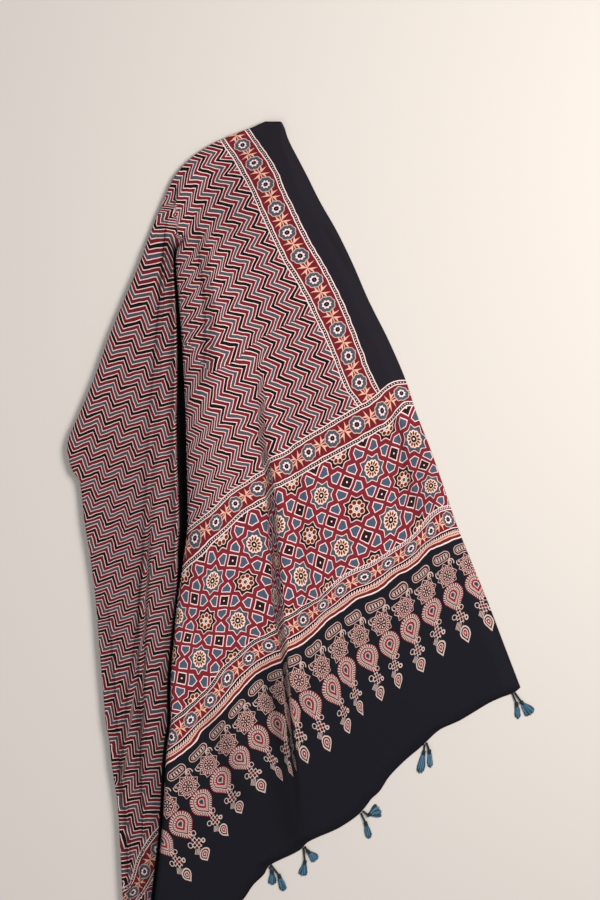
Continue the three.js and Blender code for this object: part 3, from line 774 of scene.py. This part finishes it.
bm = bmesh.new()
bmesh.ops.create_grid(bm, x_segments=column_count - 1, y_segments=row_count - 1, size=1)
print_layer = bm.loops.layers.uv.new("print")
lit_layer = bm.verts.layers.float.new("lit")
stations = {}
for vert in bm.verts:
    column = round((1 - vert.co.x) / 2 * (column_count - 1))
    row = round((1 - vert.co.y) / 2 * (row_count - 1))
    stations[vert] = (row, column)
    vert[lit_layer] = lit[row, column]
    x, z = lines[row][column]
    vert.co = (x * MM, rows_y[row] * MM, z * MM)
bmesh.ops.recalc_face_normals(bm, faces=bm.faces)
for face in bm.faces:
    face.smooth = True
    for loop in face.loops:
        loop[print_layer].uv = print_at[stations[loop.vert]]
cloth_mesh = bpy.data.meshes.new("cloth_sheet")
bm.to_mesh(cloth_mesh)
bm.free()
cloth = bpy.data.objects.new("cloth_sheet", cloth_mesh)
bpy.context.collection.objects.link(cloth)
shell = cloth.modifiers.new("shell", "SOLIDIFY")
shell.thickness = SHEET * MM
shell.offset = 0

# The print is block printed in madder red, black, indigo blue and grey, with cream lines. It is drawn
# here from the print coordinates, zone by zone, with a little of the block's wobble. Each zone is a
# surface of its own, laid over the last with a mask.
INK_BLACK = linear(22, 11, 14)
INK_RED = linear(116, 29, 36)
TILE_RED = linear(130, 36, 46)
MADDER = linear(112, 36, 34)
FLOWER = linear(250, 214, 186)
CREAM = linear(255, 222, 218)
PEACH = linear(240, 184, 160)
OUTLINE = linear(206, 180, 172)
TILE_DARK = linear(44, 22, 25)
BLUE = linear(76, 88, 107)
BEAD_CREAM = linear(232, 182, 166)
DOT_CREAM = linear(226, 198, 188)
GREY = linear(80, 82, 92)
STROKE_GREY = linear(80, 78, 86)
NIGHT = linear(22, 22, 30)
PLAIN_DARK = linear(32, 28, 36)
DROP_CREAM = linear(212, 182, 172)
DROP_RED = linear(138, 36, 44)
DROP_DARK = linear(78, 25, 31)
HALO = linear(112, 30, 38)
DROP_GREY = linear(58, 46, 52)
# The near-black that the painted shade in the gap, folds, creases and on the left panel mixes towards
PAINTED_SHADE_BLACK = linear(8, 5, 6)


class Print(Shader):
    """A shader for the printed cloth, whose surfaces share its weave and its painted shade."""
    def cloth(self, colour):
        # Painted shade: the print's colour is mixed towards near-black where the lit attribute is low
        return self.node("BsdfPrincipled", None, Base_Color=self.mix(self.lit, PAINTED_SHADE_BLACK, colour),
                         Roughness=0.85, Specular_IOR_Level=0.15, Normal=self.normal)[0]

    def over(self, mask, under, surface):
        return self.node("MixShader", None, mask, under, surface)[0]


def either(*masks):
    total = masks[0]
    for mask in masks[1:]:
        total = total.maths("MAXIMUM", mask)
    return total


def far(x, y):
    return (x * x + y * y).maths("SQRT")


def turn(x, y):
    """The angle of (x, y) from the x axis."""
    return y.maths("ARCTAN2", x)


def centred(value, pitch):
    """value's distance from the nearest whole pitch."""
    return (value + pitch / 2) % pitch - pitch / 2


WOBBLE = 0.7
WOBBLE_PITCH = 11
THREAD_PITCH = 0.9
THREAD_DEPTH = 0.06
SLUB_PITCH = 30
SLUB_DEPTH = 2.2

shader = Print("printed_cotton")
uv = shader.node("UVMap", {"uv_map": "print"})[0]
wobble = shader.node("TexNoise", {"noise_dimensions": "2D"}, Vector=uv, Scale=1 / WOBBLE_PITCH, Detail=0.0)[1]
wobble = shader.node("VectorMath", {"operation": "MULTIPLY_ADD"}, wobble, (2 * WOBBLE, 2 * WOBBLE, 0),
                     (-WOBBLE, -WOBBLE, 0))[0]
wobbly = shader.node("VectorMath", {"operation": "ADD"}, uv, wobble)[0]
u, v = shader.node("SeparateXYZ", None, wobbly)[:2]

# Plain weave with slubs, and the painted shade in the folds, the gap and the creases
flat_u, flat_v = shader.node("SeparateXYZ", None, uv)[:2]
weave_u = (flat_u * (2 * math.pi / THREAD_PITCH)).maths("SINE")
weave_v = (flat_v * (2 * math.pi / THREAD_PITCH)).maths("SINE")
slubs = shader.node("TexNoise", {"noise_dimensions": "2D"}, Vector=uv, Scale=1 / SLUB_PITCH, Detail=4.0)[0]
weave = weave_u * weave_v * THREAD_DEPTH + slubs * SLUB_DEPTH
shader.normal = shader.node("Bump", None, Strength=0.5, Distance=MM, Height=weave)[0]
shader.lit = shader.node("Attribute", {"attribute_name": "lit"})[2]

# Edges of the zones: u from the selvedge to the side border and past it, v of the end band's top, of the
# tiles' lower and upper edges, and of the upper border's top
PLAIN_U = 36
SIDE_U = 78
BAND_V = 246
TILES_LOW_V = 298
TILES_TOP_V = 453
UPPER_V = 498

# Field of zigzags, in an upper and a lower block that don't meet on their lines. A row's stroke goes one
# way for a share of its height and back for the rest. The strip along the selvedge is plain.
FIRST_STROKE_U = 93.5
ROW_PITCH = 30.2
STROKE_SHARE = 0.563
STROKE_REACH = 15.3
lower_block = either((v < 643) * (u < 243), (v < 701) * (u > 243) * (u < 450))
rows_down = (JOINT_V - v) / (ROW_PITCH - lower_block * (ROW_PITCH - LOWER_PITCH))
t = rows_down.maths("FRACT")
stair = (t / STROKE_SHARE).maths("MINIMUM", (1 - t) / (1 - STROKE_SHARE)) * STROKE_REACH
drift = lower_block * (rows_down * LOWER_DRIFT + (LOWER_U - FIRST_STROKE_U))
stroke = ((u - FIRST_STROKE_U + stair - drift) / STROKES).maths("FRACT")
off_stroke = abs(stroke - 0.5)
zigzag = shader.stack(INK_BLACK, (off_stroke < 0.402, CREAM), (off_stroke < 0.35, INK_RED),
                      (off_stroke < 0.15, CREAM), (off_stroke < 0.098, STROKE_GREY))
plain = (v > UPPER_V) * (u < PLAIN_U)
surface = shader.cloth(shader.mix(plain, zigzag, PLAIN_DARK))

# Borders of rosettes and sprigs: down the side, above the tiles and below them. The upper one is a little
# wider below its middle than above it, and its pattern is stretched there.
ROSETTE_PITCH = 39.5
SIDE_MIDDLE_U = 57
UPPER_MIDDLE_V = 477
LOWER_MIDDLE_V = 278
UPPER_SQUEEZE = 0.875
side = (v > UPPER_V) * (u < SIDE_U) * (u > PLAIN_U)
upper = (v < UPPER_V) * (v > TILES_TOP_V)
lower = (v < TILES_LOW_V) * (v > BAND_V)
up = v - UPPER_MIDDLE_V
across = side * (u - SIDE_MIDDLE_U) + upper * up.maths("MAXIMUM", up * UPPER_SQUEEZE)
across = across + lower * (v - LOWER_MIDDLE_V)
along = side * (v - 525.6) + upper * (u - 11) + lower * (u - 30.75)
inward = abs(across)
motif = centred(along, ROSETTE_PITCH)
r = far(across, motif)
lobes = abs((turn(across, motif) * 4).maths("COSINE"))
petals = lobes * 1.2 + 10.7
sprig_along = abs(centred(along + ROSETTE_PITCH / 2, ROSETTE_PITCH))
outward = (inward + sprig_along) * math.sqrt(0.5)
aside = abs(inward - sprig_along) * math.sqrt(0.5)
leaf = (aside < outward * 0.42 - 0.3) * (outward < aside * 1.1 + 7.0)
stem = (inward < 0.6) * (sprig_along < 8.6)
rows = side + upper
dots = (abs(centred(along, 3.9)) < 0.85) * (abs(inward - 17.6) < 0.75) * rows
border = shader.stack(
    INK_RED,
    (leaf, PEACH), (stem, PEACH),
    (r < petals, OUTLINE), (r < petals - 1.2, GREY), (r < lobes * 1.9 + 4.4, CREAM), (r < 3.4, INK_BLACK),
    (r < 1.2, GREY),
    ((inward > 14.2) * rows, CREAM), ((inward > 15.7) * rows, INK_BLACK), ((inward > 19.5) * rows, CREAM),
    (dots, DOT_CREAM))

# The lower border's edges: beaded lines above its rosettes, teeth and beads below them
teeth = abs(centred(u + v * 0.8, 4.4)) < 0.8
beads = abs(centred(u, 3.1))
border = shader.stack(
    border,
    ((v > 290.8) * lower, CREAM), ((v > 292.2) * lower, INK_BLACK),
    ((abs(v - 294.5) < 0.6) * (beads < 0.6) * lower, DOT_CREAM), ((v > 296.9) * lower, CREAM),
    ((v > 293.2) * (u < 200) * teeth * lower, CREAM),
    ((v < 265.2) * lower, CREAM), ((v < 263.8) * lower, INK_BLACK),
    ((v < 261) * teeth * lower, CREAM), ((v < 258.4) * lower, BEAD_CREAM),
    ((abs(v - 255.4) < 1.2) * (beads < 0.85) * lower, MADDER), ((v < 252.4) * lower, MADDER),
    ((v < 248) * lower, CREAM))
surface = shader.over(side + upper + lower, surface, shader.cloth(border))

# Tiles of eight-pointed stars, squares and cut-off cells, on red straps
STAR_PITCH = 79
STAR_U = 11
STAR_V = 413
TILE = STAR_PITCH / math.sqrt(2)
tile = (v < TILES_TOP_V) * (v > TILES_LOW_V)
p = (u - STAR_U + v - STAR_V) / STAR_PITCH
q = (u - STAR_U - v + STAR_V) / STAR_PITCH
star_p = centred(p, 1) * TILE
star_q = centred(q, 1) * TILE
black_star = abs(centred(abs(p.maths("ROUND") + q.maths("ROUND")), 2)) > 0.5
r = far(star_p, star_q)
angle = turn(star_p, star_q)
points = (1 - abs((angle * 4).maths("SINE"))) * 4.6 + 15.7
star_cream = r < points
star_fill = r < points - 1.2
twelfth = centred(angle, math.pi / 6)
flower_edge = abs((angle * 6).maths("COSINE")) * 1.3 + 10.6
petal_width = (10.6 - r).maths("MINIMUM", r - 4.0) * 0.34 + 0.45
thin_petals = (abs(twelfth * r) < petal_width) * (r < 10.2)
blue_star = shader.stack(GREY, (r < flower_edge, CREAM), (r < flower_edge - 1.1, FLOWER),
                         (thin_petals, MADDER), (r < 5.0, FLOWER), (r < 4.2, INK_BLACK), (r < 1.4, CREAM))
eighth = centred(angle, math.pi / 4)
petal_r = far(eighth.maths("SINE") * r, eighth.maths("COSINE") * r - 8.7)
night_star = shader.stack(TILE_DARK, (petal_r < 3.9, FLOWER), (r < 6.4, FLOWER), (petal_r < 2.9, MADDER),
                          (r < 4.4, GREY), (abs(r - 3.2) < 0.6, CREAM))
star = shader.mix(black_star, blue_star, night_star)

# Between the stars, a square in the middle of each tile's side and four cells around it
square = abs(centred(p + 0.5, 1)).maths("MAXIMUM", abs(centred(q + 0.5, 1))) * TILE
square_r = far(centred(p + 0.5, 1), centred(q + 0.5, 1)) * TILE


def cells(along_edge, across_edge):
    """Distance into the pair of cells on each side of the tile's edges, less than 0 inside."""
    x = abs(centred(along_edge + 0.5, 1)) * TILE
    y = abs(centred(across_edge, 1)) * TILE
    return either(x - 7.9, y - 16.0, (x * 0.9 - y + 1.5) * 0.743)


cell = cells(p, q).maths("MINIMUM", cells(q, p))
tiles = shader.stack(
    TILE_RED, (cell < 0, CREAM), (cell < -1.2, BLUE), (square < 7.8, CREAM), (square < 6.5, TILE_DARK),
    (square_r < 1.3, CREAM), (star_cream, CREAM))
tiles = shader.mix(star_fill, tiles, star)
surface = shader.over(tile, surface, shader.cloth(tiles))


# Plain end band, with a row of hanging drops: cap, curls, star, fringed teardrop, cluster, small drop
def pointed(x, y, sharpness=0.62):
    """A distance whose rings are drops that point down, with the half-angle's sine as sharpness."""
    cosine = math.sqrt(1 - sharpness ** 2)
    below = (y * -cosine - x * sharpness) > 0
    ring = far(x, y)
    return ring + below * (x * cosine - y * sharpness - ring)


def hoop(x, y, centre_x, centre_y, radius, width):
    return abs(far(x - centre_x, y - centre_y) - radius) < width / 2


DROP_PITCH = 41
DROP_U = 109.75
DROPS_FROM_U = -30
DROPS_TO_U = 705
band = v < BAND_V
hung = (u > DROPS_FROM_U) * (u < DROPS_TO_U)
x = centred(u - DROP_U, DROP_PITCH)
wide = abs(x)
cap = far((wide - 8).maths("MAXIMUM", 0) * 0.8, v - 231)
curls = either(hoop(x, v, -13.5, 220, 5.0, 1.5) * (v > 217), hoop(x, v, -12.5, 221, 2.2, 1.2),
               hoop(x, v, 13.5, 214.5, 5.0, 1.5) * (v < 218), hoop(x, v, 13, 216, 2.0, 1.2))
star_y = v - 205
r = far(x, star_y)
angle = turn(x, star_y)
gear = (1 - abs((angle * 4).maths("SINE"))) * 3.8 + 14.8
rays = abs((angle * 12).maths("SINE")) > 0.72
rose = abs((angle * 4).maths("COSINE"))
ring = pointed(wide, v - 172.5)
comb_angle = turn(x, v - 168)
comb = (abs((comb_angle * 16).maths("SINE")) > 0.72) * (ring > 13.4) * (ring < 17.6)
studs = (abs((comb_angle * 12).maths("SINE")) > 0.5) * (abs(ring - 8.9) < 1.1)
knot_y = v - 137
knot = (wide + abs(knot_y) * 0.8) < 9.4
lattice = either(abs(centred(x + 2.3, 4.6)) < 0.55, abs(centred(knot_y + 2.3, 4.6)) < 0.55) * knot
loops = either(hoop(x, v, 9.5, 140.5, 3.4, 1.1), hoop(x, v, -6.5, 148.5, 3.2, 1.1),
               hoop(x, v, -9, 132.5, 2.4, 1.8))
leaves = ((abs(x - 7.5) + abs(v - 127.5)) < 5.5) * (abs(centred(x + v, 2.8)) > 0.7)
small = pointed(wide, v - 117)
drops = shader.stack(
    NIGHT,
    (cap < 6.6, DROP_CREAM), (cap < 5.7, DROP_DARK), (cap < 3.6, DROP_CREAM), (cap < 2.9, NIGHT),
    ((cap < 2.1) * (abs(centred(x, 4.6)) < 1.2), DROP_CREAM), (curls, DROP_CREAM),
    (r < gear + 0.8, NIGHT), (r < gear, DROP_CREAM), (r < gear - 1.0, DROP_DARK),
    ((rose < 0.5) * (r > 9.4) * (r < gear - 1.0), DROP_RED), (rays * (r > 10.4) * (r < 13.6), DROP_CREAM),
    (abs(r - 8.2 - rose) < 0.5, DROP_CREAM), ((rose > 0.8) * (r < 7.0), DROP_CREAM), (r < 2.8, NIGHT),
    (r < 1.0, DROP_CREAM),
    (ring < 18.6, HALO), (comb, DROP_CREAM), (ring < 13.4, DROP_CREAM), (ring < 12.5, DROP_GREY),
    (ring < 10.9, DROP_CREAM), (ring < 10.2, DROP_RED), (studs, DROP_CREAM), (ring < 7.2, DROP_RED),
    (ring < 4.9, DROP_CREAM), (ring < 3.6, GREY), (ring < 1.4, NIGHT),
    (knot, NIGHT), (lattice, DROP_CREAM), ((wide + abs(knot_y)) < 2.9, DROP_RED), (loops, DROP_CREAM),
    (leaves, DROP_CREAM),
    (small < 8.2, DROP_CREAM), (small < 6.3, NIGHT), (small < 4.6, DROP_CREAM), (small < 3.2, DROP_RED),
    (small < 1.3, DROP_CREAM))
surface = shader.over(band, surface, shader.cloth(shader.mix(hung, NIGHT, drops)))
cloth_mesh.materials.append(shader.finish(surface))
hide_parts("cloth")
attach(cloth, "root")

# The rolled hem is the cloth's cut end, turned over twice into a bead and whipped with dark thread. It
# runs down from the corner to the far end of the slanting edge.
HEM_WIDTH = 2.0
HEM_SIDES = 8
HEM_END_Y = -593.5
HEM_THREAD = linear(34, 22, 25)


def tube(bm, points, radii, sides):
    """A closed tube through points (mm), with a radius at each, made from one grid rolled up."""
    points = np.array(points, float)
    along = np.gradient(points, axis=0)
    along /= np.linalg.norm(along, axis=1)[:, None]
    aside = np.cross(along, (0, 0, 1))
    aside /= np.linalg.norm(aside, axis=1)[:, None]
    over = np.cross(aside, along)
    made = bmesh.ops.create_grid(bm, x_segments=sides, y_segments=len(points) - 1, size=1)["verts"]
    for vert in made:
        side = (vert.co.x + 1) * math.pi
        ring = round((vert.co.y + 1) / 2 * (len(points) - 1))
        outward = aside[ring] * math.cos(side) + over[ring] * math.sin(side)
        vert.co = (points[ring] + outward * radii[ring]) * MM
    return made


def finish_mesh(bm, name, merge):
    """Welds a bmesh, closes its ends, turns its faces outwards and makes it an object."""
    bmesh.ops.remove_doubles(bm, verts=bm.verts, dist=merge * MM)
    bmesh.ops.holes_fill(bm, edges=bm.edges, sides=16)
    bmesh.ops.recalc_face_normals(bm, faces=bm.faces)
    for face in bm.faces:
        face.smooth = True
    mesh = bpy.data.meshes.new(name)
    bm.to_mesh(mesh)
    bm.free()
    made = bpy.data.objects.new(name, mesh)
    bpy.context.collection.objects.link(made)
    return made


hem_line = evenly([(hem_x(y), y) for y in np.linspace(CORNER_Y, HEM_END_Y, 500)], 200)
bm = bmesh.new()
hem_points = [(x - 0.6, y, HEM_WIDTH / 2) for x, y in hem_line]
tube(bm, hem_points, np.full(len(hem_points), HEM_WIDTH / 2), HEM_SIDES)
hem_bead = finish_mesh(bm, "rolled_hem", 0.01)
shader = Shader("hem_thread")
paint = shader.node("BsdfPrincipled", None, Base_Color=HEM_THREAD, Roughness=0.9,
                    Specular_IOR_Level=0.1)[0]
hem_bead.data.materials.append(shader.finish(paint))
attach(hem_bead, "root")

# The tassels are bunches of soft cotton strands, dyed steel blue and bound round a small head. Each is
# tied to the hem by a short black thread, in pairs.
HEAD_LENGTH = 7
HEAD_WIDTH = 5.4
HEAD_HEIGHT = 4.2
THREAD_WIDTH = 2.7
THREAD_GAP = 1.7
STRANDS = 70
STRAND_RINGS = 7
# Strand colours: the near-black that the thread and head take and that the strands' painted shade mixes
# towards, and the steel blue dye
STRAND_DARK = linear(10, 20, 30)
STRAND_LIGHT = linear(98, 158, 192)

# The y at which the thread leaves the hem, where the head starts, the heading in degrees, the length and
# the spread of the strands' tips
tassels = [
    (-206.4, (308, -218), -51, 25, 16), (-207.8, (302.5, -219.5), -85, 24, 8),
    (-279.2, (173, -287.5), -101, 33, 11), (-276.6, (180, -286), -87, 26, 7.5),
    (-372.8, (92.5, -379.5), 26, 21, 20), (-375.6, (90, -387), -76, 25, 9),
    (-422.4, (8.2, -427.5), -48, 20, 14), (-424.4, (6, -441.5), -100, 23, 12),
    (-450.5, (-41, -455.5), -88, 21, 12), (-448.2, (-31.5, -461), -72, 25, 10),
    (-516.8, (-93, -524), -66, 26, 12), (-520.3, (-101.5, -528.5), -102, 27, 11),
    (-559.8, (-143.5, -565), -42, 24, 13), (-562.4, (-151, -568), -96, 19, 10),
]


def tassel_mesh(row, draw):
    hem_y, (head_x, head_y), heading, length, spread_at_tips = row
    angle = math.radians(heading)
    along = np.array([math.cos(angle), math.sin(angle), 0])
    aside = np.array([-math.sin(angle), math.cos(angle), 0])
    head = np.array([head_x, head_y, 0])
    bm = bmesh.new()
    shade = bm.verts.layers.float.new("shade")

    # Head, bound round a barrel of strands
    profile = [(0, 0.35), (0.06, 0.75), (0.2, 0.95), (0.45, 1), (0.7, 0.92), (0.85, 0.8), (1, 0.85)]
    points = [head + along * HEAD_LENGTH * t + (0, 0, HEAD_HEIGHT / 2) for t, r in profile]
    made = tube(bm, points, [HEAD_HEIGHT / 2 * r for t, r in profile], 14)
    for vert in made:
        offset = np.array(vert.co) / MM - head
        vert.co = (head + along * offset.dot(along) + (0, 0, offset[2])
                   + aside * offset.dot(aside) * HEAD_WIDTH / HEAD_HEIGHT) * MM

    # Thread from the hem
    start = np.array([hem_x(hem_y) + THREAD_GAP, hem_y, THREAD_WIDTH / 2])
    end = head + along * 2 + (0, 0, THREAD_WIDTH)
    tube(bm, [lerp(start, end, t) for t in np.linspace(0, 1, 5)], [THREAD_WIDTH / 2] * 5, 6)

    # Strands split into locks, with painted shade: darker on the lower strands, in lines between the locks
    # and towards the edges, with a random tone on each strand
    parting = draw.uniform(0, 3)
    for _ in range(STRANDS):
        across = draw.uniform(-1, 1)
        layer = draw.uniform(0, 1)
        reach = length * (1 - 0.14 * across ** 2) * draw.uniform(0.86, 1.03)
        wave = draw.uniform(-0.6, 0.6)
        points = []
        for t in np.linspace(0, 1, STRAND_RINGS):
            out = lerp(HEAD_LENGTH * 0.7, reach, t)
            side = across * lerp(HEAD_WIDTH * 0.36, spread_at_tips / 2, t ** 0.8)
            side += wave * math.sin(t * 5 + layer * 6)
            height = lerp(0.4 + layer * (HEAD_HEIGHT - 1) * (1 - 0.5 * across ** 2), 0.4 + layer * 1.2, t)
            points.append(head + along * out + aside * side + (0, 0, height))
        made = tube(bm, points, np.interp(np.linspace(0, 1, STRAND_RINGS), [0, 0.7, 1], [0.5, 0.55, 0.3]), 4)
        parting_shade = abs(math.sin(across * 4.6 + parting)) ** 0.7 * (1 - 0.5 * abs(across) ** 3)
        depth = layer * parting_shade * draw.uniform(0.5, 1)
        for vert in made:
            vert[shade] = depth
    return bm


# The steel blue mixed by the shade attribute towards near-black: painted shade on the strands, and the dark
# of the thread and head
shader = Shader("blue_cotton")
shade = shader.node("Attribute", {"attribute_name": "shade"})[2]
dye_and_painted_shade = shader.mix(shade, STRAND_DARK, STRAND_LIGHT)
paint = shader.node("BsdfPrincipled", None, Base_Color=dye_and_painted_shade, Roughness=0.75)[0]
blue_cotton = shader.finish(paint)
draw = np.random.default_rng(7)
for number, row in enumerate(tassels, 1):
    tassel = finish_mesh(tassel_mesh(row, draw), f"tassel_{number:02d}_strands", 0.002)
    tassel.data.materials.append(blue_cotton)
    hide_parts(f"tassel_{number:02d}")
    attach(tassel, "root")
